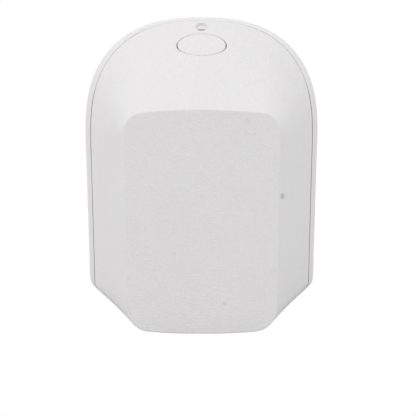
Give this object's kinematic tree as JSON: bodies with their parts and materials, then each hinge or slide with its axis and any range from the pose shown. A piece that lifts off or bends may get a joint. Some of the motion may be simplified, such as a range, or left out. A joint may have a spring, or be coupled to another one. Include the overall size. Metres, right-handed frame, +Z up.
{
  "type": "wireless motion detector",
  "caption": "Arched wall-mounted infrared motion detector with a flat lens panel, flared sides, a flush round test button, a pull-off cover and a battery inside.",
  "frame": {"origin": "under the middle of the body, on the surface it stands on", "axes": "+Z up, -Y out of the lens panel, +Y into the wall, +X to the right seen from the front"},
  "size_m": [0.0616, 0.0516, 0.0737],
  "materials": {
    "white_shell": "fine matte moulded shell, slightly warm white",
    "lens_plastic": "satin infrared-clear plastic, milky white",
    "retainer_plastic": "moulded, natural white",
    "button_plastic": "fine matte moulded cap",
    "light_pipe_plastic": "smoke-tinted clear rod",
    "rear_shell": "fine matte moulded shell",
    "board_laminate": "solder-resist green laminate",
    "radio_laminate": "dark blue laminate",
    "screw_steel": "zinc-plated steel",
    "sensor_metal": "drawn nickel-plated can",
    "sensor_filter": "dark coated filter plate",
    "lead_metal": "tinned metal",
    "black_plastic": "glass-filled black plastic",
    "cell_sleeve": "printed shrink sleeve, plain",
    "contact_metal": "nickel-plated spring strip",
    "switch_plastic": "black switch body",
    "plunger_plastic": "natural acetal",
    "light_source_resin": "milky resin",
    "chip_resin": "moulded black resin",
    "shield_metal": "tinned sheet",
    "capacitor_metal": "plain drawn can"
  },
  "bodies": {
    "housing": {"rear_housing": "rear_shell", "circuit_board": "board_laminate", "board_screws": "screw_steel", "sensor_can": "sensor_metal", "sensor_window": "sensor_filter", "sensor_base": "sensor_metal", "sensor_leads": "lead_metal", "sensor_spacer": "black_plastic", "battery_cradle": "black_plastic", "battery_contact_positive": "contact_metal", "battery_contact_negative": "contact_metal", "push_switch": "switch_plastic", "status_light": "light_source_resin", "tamper_switch": "switch_plastic", "radio_board": "radio_laminate", "radio_chip": "chip_resin", "radio_shield": "shield_metal", "antenna": "contact_metal", "controller_chip": "chip_resin", "chip_pins": "lead_metal", "capacitor_foot": "black_plastic", "smoothing_capacitor": "capacitor_metal", "timing_crystal": "shield_metal", "small_board_parts": "chip_resin"},
    "cover": {"front_cover": "white_shell", "fresnel_lens": "lens_plastic", "lens_retainer": "retainer_plastic", "light_pipe": "light_pipe_plastic"},
    "button": {"test_button": "button_plastic"},
    "battery": {"battery_cell": "cell_sleeve"},
    "switch_plunger": {"push_switch_plunger": "plunger_plastic"},
    "tamper": {"tamper_plunger": "plunger_plastic"}
  },
  "joints": [
    {"name": "cover_release", "type": "slide", "parent": "housing", "child": "cover", "axis": [0, -1, 0], "range_m": [0, 0.055]},
    {"name": "button_press", "type": "slide", "parent": "cover", "child": "button", "axis": [0, 0.3605, -0.9327], "range_m": [0, 0.0006], "stiffness_N_per_m": 3000},
    {"name": "switch_press", "type": "slide", "parent": "housing", "child": "switch_plunger", "axis": [0, 0, -1], "range_m": [0, 0.0006]},
    {"name": "battery_removal", "type": "slide", "parent": "housing", "child": "battery", "axis": [0, -1, 0], "range_m": [0, 0.012]},
    {"name": "tamper_press", "type": "slide", "parent": "housing", "child": "tamper", "axis": [0, -1, 0], "range_m": [0, 0.0008], "stiffness_N_per_m": 500}
  ],
  "couplings": [
    {"joint": "switch_press", "follows": "button_press", "ratio": 0.93274}
  ]
}
